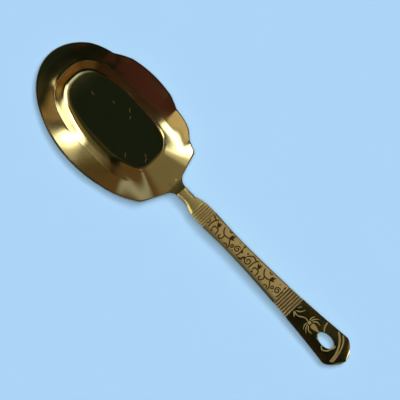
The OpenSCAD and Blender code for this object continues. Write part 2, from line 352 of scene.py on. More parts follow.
class Effects:
    """Surface effects that the golden finishes share, each a mask from 0 to 1."""

    # The grain is in cells of noise in a metre
    grain: float = 2600.0
    grain_detail: float = 3.0
    haze_detail: float = 4.0
    haze_fade: Span = (0.35, 0.7)
    scuff_fade: Span = (0.3, 0.62)
    scuff_stretch: tuple[float, float, float] = (0.4, 1.0, 1.0)
    top_fade: float = 0.96
    groove_power: float = 1.15
    front_shade: float = 0.65

    def __init__(self) -> None:
        """Builds each effect once."""
        self.brush = self.brush_lines()
        self.zone = self.zone_along()
        self.scuff = self.scuff_spot()
        self.haze = self.handling_haze()
        # The groove and edge masks paint shade into the colour
        self.groove = self.painted_groove_shade()
        self.edge = self.edge_shade()

    def brush_lines(self) -> Tree:
        """Fine lines along the spoon that polishing leaves.

        Returns:
            The finished node group.
        """
        board = EffectBoard("Brush lines", Stretch=0.02)
        x, y, z = board.axes()
        long_x = board.sum("MULTIPLY", x, board.given["Stretch"])
        drawn = board.add("CombineXYZ", {0: long_x, 1: y, 2: z}).outputs[0]
        return board.done(board.cloud(drawn, self.grain, self.grain_detail))

    def zone_along(self) -> Tree:
        """A stretch of the spoon from one X to another, up to a height.

        Returns:
            The finished node group.
        """
        board = EffectBoard("Zone along", From=0.0, To=1.0, Edge=0.0001, Top=1.0)
        given = board.given
        x, _, z = board.axes()
        enter = board.step(x, board.sum("SUBTRACT", given["From"], given["Edge"]),
                           board.sum("ADD", given["From"], given["Edge"]))
        stay = board.step(x, board.sum("ADD", given["To"], given["Edge"]),
                          board.sum("SUBTRACT", given["To"], given["Edge"]))
        under = board.step(z, given["Top"], board.sum("MULTIPLY", given["Top"], self.top_fade))
        return board.done(board.sum("MULTIPLY", board.sum("MULTIPLY", enter, stay), under))

    def scuff_spot(self) -> Tree:
        """A few pale scratches in a small long spot.

        Returns:
            The finished node group.
        """
        board = EffectBoard("Scuff spot", X=0.0, Y=0.0, Radius=0.004, Turn=0.0)
        given = board.given
        x, y, _ = board.axes()
        flat = board.add("CombineXYZ", {0: board.sum("SUBTRACT", x, given["X"]),
                                        1: board.sum("SUBTRACT", y, given["Y"])}).outputs[0]
        turned = board.add("VectorRotate", {"Vector": flat, "Angle": given["Turn"]},
                           rotation_type="Z_AXIS").outputs[0]
        drawn = board.add("VectorMath", {0: turned, 1: self.scuff_stretch},
                          operation="MULTIPLY").outputs[0]
        away = board.add("VectorMath", {0: drawn}, operation="LENGTH").outputs["Value"]
        near = board.sum("SUBTRACT", 1.0, board.step(away, 0.0, given["Radius"]))
        grit = board.cloud(drawn, self.grain, self.grain_detail)
        return board.done(board.step(board.sum("MULTIPLY", near, grit), *self.scuff_fade))

    def handling_haze(self) -> Tree:
        """Soft cloudy wear from wiping and washing.

        Returns:
            The finished node group.
        """
        board = EffectBoard("Handling haze", Size=90.0)
        wear = board.cloud(board.place(), board.given["Size"], self.haze_detail)
        return board.done(board.step(wear, *self.haze_fade))

    def painted_groove_shade(self) -> Tree:
        """Painted shade and painted orange reflection in the bottoms of a band's grooves.

        Returns:
            The finished node group.
        """
        board = EffectBoard("Painted groove shade", From=0.0, To=1.0, Pitch=0.0015)
        given = board.given
        past = board.sum("SUBTRACT", board.axes()[0], given["From"])
        count = board.sum("DIVIDE", past, given["Pitch"])
        wave = board.sum("COSINE", board.sum("MULTIPLY", count, math.tau))
        depth = board.sum("MULTIPLY_ADD", wave, -0.5, 0.5)
        deep = board.sum("POWER", depth, self.groove_power)
        band = board.group(self.zone, From=given["From"], To=given["To"])
        return board.done(board.sum("MULTIPLY", band, deep))

    def edge_shade(self) -> Tree:
        """Painted shade along the flared panel's two edges, deeper towards its rear.

        Returns:
            The finished node group.
        """
        board = EffectBoard("Edge shade", From=0.0, To=1.0, Waist=0.0, Flare=1.0, Narrow=0.005,
                            Widen=0.005, Power=1.0, Left=0.003, Right=0.001)
        given = board.given
        x, y, _ = board.axes()
        past = board.sum("DIVIDE", board.sum("SUBTRACT", x, given["Waist"]), given["Flare"])
        share = board.sum("POWER", board.sum("MAXIMUM", past, 0.0), given["Power"])
        half = board.sum("MULTIPLY_ADD", share, given["Widen"], given["Narrow"])
        right = board.step(board.sum("SUBTRACT", half, y), given["Right"], 0.0)
        left = board.step(board.sum("ADD", half, y), given["Left"], 0.0)
        band = board.group(self.zone, From=given["From"], To=given["To"])
        deep = board.sum("MULTIPLY_ADD", board.step(x, given["From"], given["To"]),
                         1.0 - self.front_shade, self.front_shade)
        both = board.sum("MULTIPLY", deep, board.sum("MAXIMUM", right, left))
        return board.done(board.sum("MULTIPLY", band, both))


# Places along the handle in millimetres behind the seam, shared by its shape and its finish
FRONT_AT = 13.0
FRONT_PITCH = 1.53
PANEL_AT = 22.3
REAR_AT = 79.2
REAR_PITCH = 1.7
END_AT = 89.8
GROOVES = 6
WAIST_AT = 40.0
FLARE_POWER = 1.75
STEM: Span = (-1.0, FRONT_AT)
FRONT_RIBS: Span = (FRONT_AT, PANEL_AT)
PANEL: Span = (PANEL_AT, REAR_AT)
REAR_RIBS: Span = (REAR_AT, END_AT)
POLISHED_END: Span = (END_AT, 135.0)


@dataclass(frozen=True)
class Zone:
    """A stretch with its own roughness, its soft edge and how high up it reaches."""

    span: Span
    rough: float
    edge: float = 0.1
    top: float = 99.0


@dataclass(frozen=True)
class Ribs:
    """The painted shade in a ribbed band's grooves: where the band starts, its pitch, its count and
    the shade's colour.
    """

    start: float
    pitch: float
    count: int
    painted_shade: Colour


@dataclass(frozen=True)
class Scuff:
    """A spot of scratches: its middle and radius in millimetres, its turn in degrees."""

    x: float
    y: float
    radius: float
    turn: float


@dataclass(frozen=True)
class EdgeShade:
    """Where the painted shade along the panel's edges lies, in millimetres behind the seam."""

    span: Span = PANEL
    waist: float = WAIST_AT
    flare: float = 82.0
    narrow: float = 5.1
    widen: float = 4.7
    power: float = FLARE_POWER
    left: float = 3.6
    right: float = 1.3
    tone: Colour = (0.1, 0.066, 0.022)

    def mask(self, board: Board, effects: Effects, seam_x: float) -> Socket:
        """Places the effect on a material's board.

        Args:
            board: The board that the nodes are added to.
            effects: The shared surface effects.
            seam_x: Where the distances along the handle start.

        Returns:
            The mask's socket.
        """
        return board.group(
            effects.edge, From=(seam_x + self.span[0]) * MM, To=(seam_x + self.span[1]) * MM,
            Waist=(seam_x + self.waist) * MM, Flare=self.flare * MM, Narrow=self.narrow * MM,
            Widen=self.widen * MM, Power=self.power, Left=self.left * MM, Right=self.right * MM)


@dataclass(frozen=True)
class GoldFinish:
    """A golden coat on steel, from mirror bright to satin."""

    name: str
    tint: Colour
    worn_tint: Colour
    roughness: float
    line_depth: float
    line_rough: float
    haze_rough: float
    scuffs: tuple[Scuff, ...] = ()
    zones: tuple[Zone, ...] = ()
    # Lighter gold painted over stretches of the handle, standing in for reflected light
    lit_tones: tuple[tuple[Span, Colour], ...] = ()
    bands: tuple[Ribs, ...] = ()
    edge: EdgeShade | None = None
    line_wear: float = 0.6
    least_wear: float = 0.2
    scuff_rough: float = 0.28

    def colour(self, board: Board, effects: Effects, worn: Socket,
               seam_x: float) -> Socket:
        """Wires the coat's colour.

        Args:
            board: The material's board.
            effects: The shared surface effects.
            worn: Where the coat is worn.
            seam_x: Where the distances along the handle start.

        Returns:
            The colour's socket.
        """
        colour = board.blend(worn, self.tint, self.worn_tint)
        # Lighter copies of the gold over the stem, ridges and panel: painted light
        for (start, stop), tone in self.lit_tones:
            mask = board.group(effects.zone, From=(seam_x + start) * MM, To=(seam_x + stop) * MM)
            colour = board.blend(mask, colour, tone)
        # Painted shade and painted orange reflection in each ribbed band's grooves
        for ribs in self.bands:
            start = seam_x + ribs.start
            mask = board.group(effects.groove, From=start * MM, Pitch=ribs.pitch * MM,
                               To=(start + ribs.pitch * ribs.count) * MM)
            colour = board.blend(mask, colour, ribs.painted_shade)
        # Painted shade along the panel's rounded edges, wider on the -Y side
        if self.edge:
            colour = board.blend(self.edge.mask(board, effects, seam_x), colour, self.edge.tone)
        return colour

    def rough(self, board: Board, effects: Effects, seam_x: float) -> object:
        """Wires the coat's own roughness, before lines, haze and scuffs.

        Args:
            board: The board that the nodes are added to.
            effects: The shared surface effects.
            seam_x: Where the distances along the handle start.

        Returns:
            The roughness or its socket.
        """
        rough: object = self.roughness
        for zone in self.zones:
            start, stop = zone.span
            mask = board.group(effects.zone, From=(seam_x + start) * MM, Edge=zone.edge * MM,
                               To=(seam_x + stop) * MM, Top=zone.top * MM)
            rough = board.add("Mix", {0: mask, 2: rough, 3: zone.rough}).outputs[0]
        return rough

    def make(self, effects: Effects, seam_x: float = 0.0) -> bpy.types.Material:
        """Builds the material.

        Args:
            effects: The shared surface effects.
            seam_x: Where the distances along the handle start.

        Returns:
            A material whose colour, roughness and normal vary over the surface.
        """
        material = bpy.data.materials.new(self.name)
        material.use_nodes = True
        board = Board(material.node_tree)
        lines = board.group(effects.brush)
        haze = board.group(effects.haze)
        worn = board.sum("MULTIPLY", haze,
                         board.sum("MULTIPLY_ADD", lines, self.line_wear, self.least_wear))
        rough = self.rough(board, effects, seam_x)
        rough = board.sum("MULTIPLY_ADD", lines, self.line_rough, rough)
        rough = board.sum("MULTIPLY_ADD", haze, self.haze_rough, rough)
        for scuff in self.scuffs:
            mask = board.group(effects.scuff, X=scuff.x * MM, Y=scuff.y * MM,
                               Radius=scuff.radius * MM, Turn=math.radians(scuff.turn))
            rough = board.sum("MULTIPLY_ADD", mask, self.scuff_rough, rough)
        bump = board.add("Bump", {"Height": lines, "Strength": 1.0,
                                  "Distance": self.line_depth * MM}).outputs[0]
        board.feed(material.node_tree.nodes["Principled BSDF"], {
            "Base Color": self.colour(board, effects, worn, seam_x), "Metallic": 1.0,
            "Roughness": rough, "Normal": bump})
        return material


GOLD: Colour = (0.82, 0.585, 0.20)
WORN_GOLD: Colour = (0.74, 0.52, 0.19)
# The panel, ridge and stem golds are lighter copies of the one gold coat: painted light standing in
# for what those surfaces reflect
LIT_PANEL_GOLD: Colour = (0.93, 0.665, 0.235)
LIT_RIDGE_GOLD: Colour = (1.0, 0.78, 0.33)
LIT_STEM_GOLD: Colour = (0.95, 0.67, 0.2)
# Painted shade and painted orange reflection for the bottoms of the front and rear grooves
PAINTED_GROOVE_AMBER: Colour = (0.62, 0.38, 0.10)
PAINTED_REAR_GROOVE_AMBER: Colour = (0.25, 0.105, 0.015)
BOWL_GOLD = GoldFinish(
    "bowl_polish", GOLD, WORN_GOLD, roughness=0.07, line_depth=0.0008, line_rough=0.05,
    haze_rough=0.03,
    scuffs=(Scuff(-64.6, 10.4, 1.8, 30.0), Scuff(-61.6, 8.0, 1.5, 55.0),
            Scuff(-40.6, -0.6, 1.5, 20.0), Scuff(-38.6, -2.2, 1.6, 60.0),
            Scuff(-48.6, -8.4, 1.7, 45.0), Scuff(-86.0, 2.4, 1.8, 10.0),
            Scuff(-74.0, 7.2, 1.5, 0.0)),
    zones=(Zone((-95.0, -80.0), 0.2, edge=6.0, top=1.9), Zone((-4.5, 1.0), 0.24, edge=2.5)))
HANDLE_GOLD = GoldFinish(
    "handle_coin", GOLD, WORN_GOLD, roughness=0.17, line_depth=0.0006, line_rough=0.05,
    haze_rough=0.04,
    zones=(Zone(STEM, 0.42), Zone(FRONT_RIBS, 0.48), Zone(PANEL, 0.68), Zone(REAR_RIBS, 0.46),
           Zone(POLISHED_END, 0.08)),
    lit_tones=((STEM, LIT_STEM_GOLD), (FRONT_RIBS, LIT_RIDGE_GOLD), (PANEL, LIT_PANEL_GOLD),
           (REAR_RIBS, LIT_RIDGE_GOLD)),
    bands=(Ribs(FRONT_AT, FRONT_PITCH, GROOVES, PAINTED_GROOVE_AMBER),
           Ribs(REAR_AT, REAR_PITCH, GROOVES, PAINTED_REAR_GROOVE_AMBER)),
    edge=EdgeShade())
VINE_GOLD = GoldFinish(
    "vine_brown", (0.13, 0.065, 0.012), (0.1, 0.05, 0.01), roughness=0.5, line_depth=0.0004,
    line_rough=0.05, haze_rough=0.05)
SATIN_GOLD = GoldFinish(
    "ornament_satin", GOLD, WORN_GOLD, roughness=0.66, line_depth=0.0006, line_rough=0.08,
    haze_rough=0.05)
BRAZE_METAL = GoldFinish(
    "braze_metal", (0.72, 0.6, 0.38), (0.6, 0.48, 0.3), roughness=0.35, line_depth=0.002,
    line_rough=0.1, haze_rough=0.1)


# Bowl


@dataclass
class BowlShell:
    """The pressed bowl: flat floor, wall, crease, flared rim, shoulders and tongue."""

    # Taken from the frame
    tip_x: float
    seam_x: float
    lap_x: float
    half_w: float
    neck_y: float
    neck_h: float
    # Outline
    front_len: float = 51.0
    shoulder_w: float = 41.0
    left_shoulder_back: float = 11.2
    right_shoulder_back: float = 10.2
    shoulder_r: float = 1.5
    left_throat_len: float = 2.8
    right_throat_len: float = 4.6
    throat_r: float = 6.0
    lobe_out: float = 0.6
    lobe_len: float = 36.0
    # Each dent in the rim's edge: distance from the tip, depth, half length
    dents: tuple[tuple[float, float, float], ...] = (
        (22.8, 2.15, 12.0), (71.3, 1.5, 9.0), (89.3, 1.5, 6.0))
    left_dent: float = 0.2
    dent_power: float = 1.2
    dent_sink: float = 0.8
    # Floor and crease in plan
    floor_len: float = 60.0
    left_floor: float = 12.5
    right_floor: float = 15.9
    wall_front: float = 7.8
    crease_out: float = 21.9
    left_crease_w: float = 0.2
    right_crease_w: float = 1.8
    front_power: float = 2.5
    back_power: float = 3.3
    # Thickness, heights and bends
    sheet: float = 1.6
    rim_h: float = 6.7
    tip_h: float = 5.2
    right_crease_h: float = 3.05
    left_crease_h: float = 2.3
    tip_crease_h: float = 4.2
    tip_bend: float = 0.85
    right_bend: float = 0.15
    left_bend: float = 0.65
    rim_curl: float = 0.05
    tip_curl: float = 0.95
    tip_fade: float = 2.0
    # Ramp to the neck, with its limits in degrees round from the handle's direction
    ramp_from: float = 50.0
    ramp_to: float = 16.0
    corner_from: float = 8.0
    corner_to: float = 18.0
    ramp_bend: float = 3.0
    corner_bend: float = 0.8
    neck_ease: float = 1.2
    tongue_flat: float = 1.0
    shoulder_rise: float = 2.0
    # Rounded edge and steps of the mesh
    edge_round: float = 0.12
    sharp_angle: float = 45.0
    slope_step: float = 0.05
    crease_ease: float = 0.12
    tongue_steps: int = 6
    throat_steps: int = 12
    side_steps: int = 8
    oval_steps: int = 110
    foot_rings: int = 6
    wall_rings: int = 9
    crease_rings: int = 4
    ring_power: float = 1.5
    floor_shares: tuple[float, ...] = (0.12, 0.3, 0.5, 0.68, 0.82, 0.92, 0.985)

    def __post_init__(self) -> None:
        """Works out the plan's fixed points."""
        self.mid_x = self.tip_x + self.front_len
        share = self.shoulder_w / 2 / self.half_w
        reach = self.seam_x - self.left_shoulder_back - self.mid_x
        self.back_len = reach / math.sqrt(1 - share * share)
        flat = self.seam_x - self.tongue_flat - self.mid_x
        self.ramp_slope = (self.neck_h + self.neck_ease) / (
            flat - self.floor_len / 2 - self.ramp_bend / 2)
        self.neck_angle = math.degrees(math.atan2(self.neck_y, flat))

    def oval_r(self, angle: float) -> float:
        """Radius of the bowl's oval at an angle from the handle's direction."""
        reach = self.front_len if angle > math.pi / 2 else self.back_len
        return oval_radius(reach, self.half_w, 2, angle)

    def corner_power(self, angle: float) -> float:
        """How square the floor's corners are: round towards the tip, squarer towards the neck."""
        return self.front_power if angle > math.pi / 2 else self.back_power

    def floor_r(self, angle: float, side: float) -> float:
        """Radius of the flat floor, which is narrower on the -Y side."""
        half = self.right_floor if side > 0 else self.left_floor
        return oval_radius(self.floor_len / 2, half, self.corner_power(angle), angle)

    def crease_r(self, angle: float) -> float:
        """Radius of the crease between wall and rim."""
        return oval_radius(self.floor_len / 2 + self.wall_front, self.crease_out,
                           self.corner_power(angle), angle)

    def crease_half(self, angle: float, side: float) -> float:
        """Half the width over which the wall turns into the rim, wider on the +Y side."""
        wide = self.right_crease_w if side > 0 else self.left_crease_w
        return lerp(self.left_crease_w, wide, self.aside(angle)) / 2

    @staticmethod
    def aside(angle: float) -> float:
        """How far an angle is from the tip's towards a side's, 0 to 1."""
        return smooth((math.pi - angle) / (math.pi / 2))

    def dent_at(self, x: float, limit: float) -> float:
        """Depth of the rim's dents at a place along the spoon, each held to a limit."""
        return max(min(depth, limit) * max(0.0, 1 - abs(x - self.tip_x - at) / half)**self.dent_power
                   for at, depth, half in self.dents)

    def oval_point(self, angle: float, side: float) -> Vector:
        """Finds a point of the rim's edge.

        Args:
            angle: Angle from the handle's direction, in radians.
            side: Above 0 for the +Y side, below 0 for the -Y side.

        Returns:
            The point in plan, folded to the +Y side.
        """
        r = self.oval_r(angle)
        x = self.mid_x + r * math.cos(angle)
        if side > 0:
            lobe = self.lobe_out * smooth(1 - abs(x - self.mid_x) / self.lobe_len)
            r += lobe - self.dent_at(x, self.half_w)
        else:
            r -= self.dent_at(x, self.left_dent)
        return Vector((self.mid_x + r * math.cos(angle), r * math.sin(angle)))

    def half_outline(self, side: float) -> list[Vector]:
        """Draws the edge on one side, from the tongue's end to the tip.

        Args:
            side: Above 0 for the +Y side, below 0 for the -Y side.

        Returns:
            The edge's points in plan, folded to the +Y side.
        """
        back = self.right_shoulder_back if side > 0 else self.left_shoulder_back
        throat_len = self.right_throat_len if side > 0 else self.left_throat_len
        foot = Vector((self.seam_x - throat_len, self.neck_y))
        shoulder = Vector((self.seam_x - back, self.shoulder_w / 2))
        run = (shoulder - foot).normalized()
        lean = math.atan2(run.y, run.x)
        centre = foot + self.throat_r / math.sin(lean / 2) * Vector(
            (math.cos(lean / 2), math.sin(lean / 2)))
        turn = [1.5 * math.pi + (lean - math.pi) * i / self.throat_steps
                for i in range(self.throat_steps + 1)]
        throat = [centre + self.throat_r * Vector((math.cos(a), math.sin(a))) for a in turn]
        start = shoulder - self.shoulder_r * run
        arm = shoulder - Vector((self.mid_x, 0.0))
        angle = math.atan2(arm.y, arm.x) + self.shoulder_r / arm.length
        last = self.oval_point(angle, side)
        n = self.side_steps
        corner = [start.lerp(shoulder, i / n).lerp(shoulder.lerp(last, i / n), i / n)
                  for i in range(n + 1)]
        begin = math.atan2(last.y, last.x - self.mid_x)
        return [
            *(Vector((lerp(self.lap_x, throat[0].x, i / self.tongue_steps), self.neck_y))
              for i in range(self.tongue_steps)),
            *throat,
            *(throat[-1].lerp(corner[0], i / n) for i in range(1, n)),
            *corner,
            *(self.oval_point(lerp(begin, math.pi, i / self.oval_steps), side)
              for i in range(1, self.oval_steps)),
        ]

    def outline(self) -> list[Vector]:
        """Draws the whole edge in plan.

        Returns:
            The edge's points, once round from the middle of the tongue's end.
        """
        left = [Vector((p.x, -p.y)) for p in reversed(self.half_outline(-1))]
        end = [Vector((self.lap_x, 0.0))]
        return [*end, *self.half_outline(1), Vector((self.tip_x, 0.0)), *left]

    @staticmethod
    def run(reach: float, span: float, slope0: float, slope1: float) -> float:
        """Height gained over a span whose slope goes evenly from slope0 to slope1."""
        e = min(max(reach, 0.0), span)
        return slope0 * e + (slope1 - slope0) * e * e / (2 * span)

    def flared(self, r: float, angle: float, side: float) -> float:
        """Follows the underside over floor, wall, crease and rim.

        Args:
            r: Distance from the bowl's middle in plan.
            angle: Angle from the handle's direction, in radians.
            side: Above 0 for the +Y side, below 0 for the -Y side.

        Returns:
            The height above the table.
        """
        start, crease, half = (self.floor_r(angle, side), self.crease_r(angle),
                               self.crease_half(angle, side))
        aside = self.aside(angle)
        side_h = self.right_crease_h if side > 0 else self.left_crease_h
        side_bend = self.right_bend if side > 0 else self.left_bend
        corner_h = lerp(self.tip_crease_h, side_h, aside)
        wall = crease - half - start
        bend = wall * lerp(self.tip_bend, side_bend, aside)
        rise = corner_h / (bend / 2 + wall - bend + half)
        width = self.oval_r(angle) - crease
        rim = (lerp(self.tip_h, self.rim_h, aside) - corner_h) / width
        curl = lerp(self.tip_curl, self.rim_curl, min(1.0, self.tip_fade * aside))
        steep, slack = rim * (1 + curl), rim * (1 - curl)
        past = max(0.0, r - crease - width)
        return (self.run(r - start, bend, 0.0, rise)
                + rise * min(max(r - start - bend, 0.0), wall - bend)
                + self.run(r - crease + half, 2 * half, rise, steep)
                + self.run(r - crease - half, width - half, steep, slack) + slack * past)

    def foot_bend(self, angle: float, side: float) -> float:
        """Length of the bend at the ramp's foot, which is tight in the +Y corner."""
        share = (math.degrees(angle) - self.corner_from) / (self.corner_to - self.corner_from)
        return lerp(self.ramp_bend, self.corner_bend, smooth(share)) if side > 0 else self.ramp_bend

    def climb(self, r: float, angle: float, side: float) -> float:
        """Follows the ramp that leaves the floor's edge and levels off at the neck.

        Args:
            r: Distance from the bowl's middle in plan.
            angle: Angle from the handle's direction, in radians.
            side: Above 0 for the +Y side, below 0 for the -Y side.

        Returns:
            The height above the table.
        """
        bend = self.foot_bend(angle, side)
        reach = r - self.floor_r(angle, side) - (self.ramp_bend - bend) / 2
        level = self.neck_h + self.shoulder_rise * smooth(
            (math.degrees(angle) - self.neck_angle) / (self.ramp_to - self.neck_angle))
        rise = (self.run(reach, bend, 0.0, self.ramp_slope)
                + self.ramp_slope * max(0.0, reach - bend))
        share = min(max(0.5 + (level - rise) / (2 * self.neck_ease), 0.0), 1.0)
        return lerp(level, rise, share) - self.neck_ease * share * (1 - share)

    def under(self, x: float, y: float) -> float:
        """Finds the sheet's underside at a place in plan.

        Args:
            x: Place along the spoon.
            y: Place across the spoon.

        Returns:
            The height above the table.
        """
        angle, r = math.atan2(abs(y), x - self.mid_x), math.hypot(x - self.mid_x, y)
        side, crease = math.copysign(1.0, y), self.crease_r(angle)
        deepest = max(depth for _, depth, _ in self.dents)
        dent = self.dent_at(x, deepest if y > 0 else self.left_dent)
        sunk = self.dent_sink * dent / deepest * smooth(
            (r - crease) / (self.oval_r(angle) - crease))
        return lerp(self.flared(r, angle, side) - sunk, self.climb(r, angle, side),
                    self.back_share(angle))

    def over(self, x: float, y: float) -> float:
        """Finds the sheet's upper face, one sheet's thickness away across the slope.

        Args:
            x: Place along the spoon.
            y: Place across the spoon.

        Returns:
            The height above the table.
        """
        d = self.slope_step
        gx = (self.under(x + d, y) - self.under(x - d, y)) / (2 * d)
        gy = (self.under(x, y + d) - self.under(x, y - d)) / (2 * d)
        return self.under(x, y) + self.sheet * math.sqrt(1 + gx * gx + gy * gy)

    def back_share(self, angle: float) -> float:
        """How far the section at an angle is the ramp to the neck, 0 to 1."""
        return smooth((self.ramp_from - math.degrees(angle)) / (self.ramp_from - self.ramp_to))

    def radii(self, angle: float, side: float, reach: float) -> list[float]:
        """Spaces the rings along one ray.

        Args:
            angle: Angle from the handle's direction, in radians.
            side: Above 0 for the +Y side, below 0 for the -Y side.
            reach: Radius of the edge on this ray.

        Returns:
            The rings' radii, from the edge inwards.
        """
        floor, crease, half = (self.floor_r(angle, side), self.crease_r(angle),
                               self.crease_half(angle, side))
        ease = half + self.crease_ease
        n = self.wall_rings
        fine = [*(lerp(floor, crease - ease, (i / n) ** self.ring_power) for i in range(n + 1)),
                *(lerp(crease - half, crease + half, i / self.crease_rings)
                  for i in range(self.crease_rings + 1)),
                *(lerp(crease + ease, reach, i / n) for i in range(n + 1))]
        count = len(fine) - self.foot_rings - 1
        bend = self.foot_bend(angle, side)
        foot = floor + (self.ramp_bend - bend) / 2
        ramp = [*(foot + bend * i / self.foot_rings for i in range(self.foot_rings)),
                *(lerp(foot + bend, reach, i / count) for i in range(count + 1))]
        back = self.back_share(angle)
        wall = [lerp(f, e, back) for f, e in zip(fine, ramp)]
        inner = [floor * share for share in self.floor_shares]
        return [*reversed(wall), *reversed(inner)]

    def rings(self) -> list[list[Vector]]:
        """Places the sheet's rings.

        Returns:
            The rings in metres, from under the floor's middle out to the edge and back over it.
        """
        rays = []
        for p in self.outline():
            arm = p - Vector((self.mid_x, 0.0))
            unit = arm.normalized()
            angle = math.atan2(abs(p.y), p.x - self.mid_x)
            spots = [(self.mid_x + r * unit.x, r * unit.y)
                     for r in self.radii(angle, p.y, arm.length)]
            low = [Vector((x, y, self.under(x, y))) * MM for x, y in reversed(spots)]
            high = [Vector((x, y, self.over(x, y))) * MM for x, y in spots]
            rays.append([*low, *high])
        return [list(ring) for ring in zip(*rays)]

    def build(self) -> Piece:
        """Lofts the sheet and rounds its cut edge.

        Returns:
            The bowl's piece.
        """
        shell = loft("bowl_shell", self.rings())
        round_edges(shell, self.edge_round, self.sharp_angle)
        return shell

    def dress(self, effects: Effects) -> None:
        """Builds the bowl, gives it its polish and sets it on the body.

        Args:
            effects: The shared surface effects.
        """
        shell = self.build()
        shell.data.materials.append(BOWL_GOLD.make(effects, self.seam_x))
        ride_root(shell, "polished_gold")
        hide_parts("bowl")


# Handle


@dataclass
class HandleBar:
    """The coined handle: nose over the tongue, ribbed bands, panel, flared end and hole."""

    # Taken from the frame
    seam_x: float
    end_x: float
    lap_x: float
    neck_y: float
    neck_h: float
    # Thickness, heights and edges
    sheet: float = 1.6
    braze: float = 0.1
    nose_t: float = 0.8
    stem_t: float = 2.6
    end_t: float = 1.4
    crown_h: float = 0.5
    crown_power: float = 2.2
    nose_crown: float = 0.6
    arch_h: float = 1.2
    end_h: float = 6.0
    edge_r: float = 0.4
    edge_bulge: float = 0.3
    # Rolled edges of the stem
    roll_w: float = 1.5
    roll_h: float = 1.1
    roll_fade: float = 15.0
    roll_power: float = 1.25
    nose_roll: float = 0.5
    # Widths along the handle
    stem_len: float = 5.0
    band_w: float = 11.1
    band_at: float = 16.4
    waist_w: float = 9.7
    waist_at: float = WAIST_AT
    end_w: float = 19.6
    flare_power: float = FLARE_POWER
    point_len: float = 8.6
    point_power: float = 1.5
    last_share: float = 0.995
    # Ribbed bands
    front_band_at: float = FRONT_AT
    front_pitch: float = FRONT_PITCH
    rear_band_at: float = REAR_AT
    rear_pitch: float = REAR_PITCH
    grooves: int = GROOVES
    groove_d: float = 0.55
    # Hanging hole
    hole_len: float = 11.4
    hole_w: float = 6.4
    hole_from_end: float = 15.9
    plug_h: float = 40.0
    # Rounded edges and steps of the mesh
    edge_round: float = 0.18
    sharp_angle: float = 48.0
    crown_steps: int = 24
    leg_steps: int = 24
    rib_steps: int = 8
    panel_steps: int = 40
    point_steps: int = 18
    hole_steps: int = 96

    def __post_init__(self) -> None:
        """Works out the places along the handle."""
        self.corner_x = self.end_x - self.point_len
        self.front_x = self.seam_x + self.front_band_at
        self.front_end = self.front_x + self.grooves * self.front_pitch
        self.rear_x = self.seam_x + self.rear_band_at
        self.rear_end = self.rear_x + self.grooves * self.rear_pitch
        self.lap = self.lap_x - self.seam_x

    def groove(self, x: float) -> float:
        """Follows the grooves of the two ribbed bands.

        Args:
            x: Place along the spoon.

        Returns:
            The share of the grooves' depth, 0 on a rib and 1 in a groove.
        """
        for start, stop, pitch in ((self.front_x, self.front_end, self.front_pitch),
                                   (self.rear_x, self.rear_end, self.rear_pitch)):
            if start < x < stop:
                return (1 - math.cos(math.tau * (x - start) / pitch)) / 2
        return 0.0

    def half_width(self, x: float) -> float:
        """Follows the handle's outline.

        Args:
            x: Place along the spoon.

        Returns:
            Half the width at x.
        """
        d = x - self.seam_x
        if d < self.band_at:
            share = (d - self.stem_len) / (self.band_at - self.stem_len)
            width = lerp(2 * self.neck_y, self.band_w, smooth(share))
        elif d < self.waist_at:
            share = (d - self.band_at) / (self.waist_at - self.band_at)
            width = lerp(self.band_w, self.waist_w, smooth(share))
        else:
            waist_x = self.seam_x + self.waist_at
            share = min(1.0, (x - waist_x) / (self.corner_x - waist_x))
            width = lerp(self.waist_w, self.end_w, share**self.flare_power)
        point = max(0.0, (x - self.corner_x) / self.point_len) * self.last_share
        blunt = (1 - point**self.point_power) ** (1 / self.point_power)
        return width / 2 * blunt - self.groove_d / 2 * self.groove(x)

    def under(self, x: float) -> float:
        """Follows the handle's underside.

        Args:
            x: Place along the spoon.

        Returns:
            The height above the table.
        """
        s = (x - self.lap_x) / (self.end_x - self.lap_x)
        e = min(max(s, 0.0), 1.0)
        bow = 4 * e * (1 - e)
        return lerp(self.neck_h, self.end_h, smooth(s)) + self.arch_h * bow * bow

    def top(self, x: float, y: float) -> float:
        """Finds the handle's crowned top at a place in plan.

        Args:
            x: Place along the spoon.
            y: Place across the spoon.

        Returns:
            The height above the table.
        """
        ease = smooth((x - self.seam_x) / self.lap)
        share = (x - self.seam_x) / (self.end_x - self.seam_x)
        bar = lerp(self.stem_t, self.end_t, share)
        thick = lerp(self.sheet + self.braze + self.nose_t, bar, ease)
        crown = lerp(min(self.crown_h, self.nose_crown * self.nose_t), self.crown_h, ease)
        half = self.half_width(x)
        across = min(1.0, abs(y) / half)
        over = min(max(abs(y) - half + self.roll_w, 0.0) / self.roll_w, 1.0)
        fade = 1 - smooth((x - self.front_x) / self.roll_fade)
        stem = lerp(self.nose_roll, 1.0, ease) * fade
        roll = self.roll_h * stem * over**self.roll_power
        return (self.under(x) + thick - self.groove_d * self.groove(x)
                - crown * across**self.crown_power - roll)

    def section(self, x: float) -> list[Vector]:
        """Draws one section of the handle.

        Args:
            x: Place along the spoon.

        Returns:
            The section's points in metres, crowned top first.
        """
        y, z = self.half_width(x), self.under(x)
        ease = min(self.edge_r, y / 2)
        spread = [-math.cos(math.pi * i / self.crown_steps) for i in range(self.crown_steps + 1)]
        bulge = self.edge_bulge * ease
        low = [(y, z + ease), (y - bulge, z + bulge), (y - ease, z)]
        ring = [*((c * y, self.top(x, c * y)) for c in spread), *low,
                *((-across, up) for across, up in reversed(low))]
        return [Vector((x, across, up)) * MM for across, up in ring]

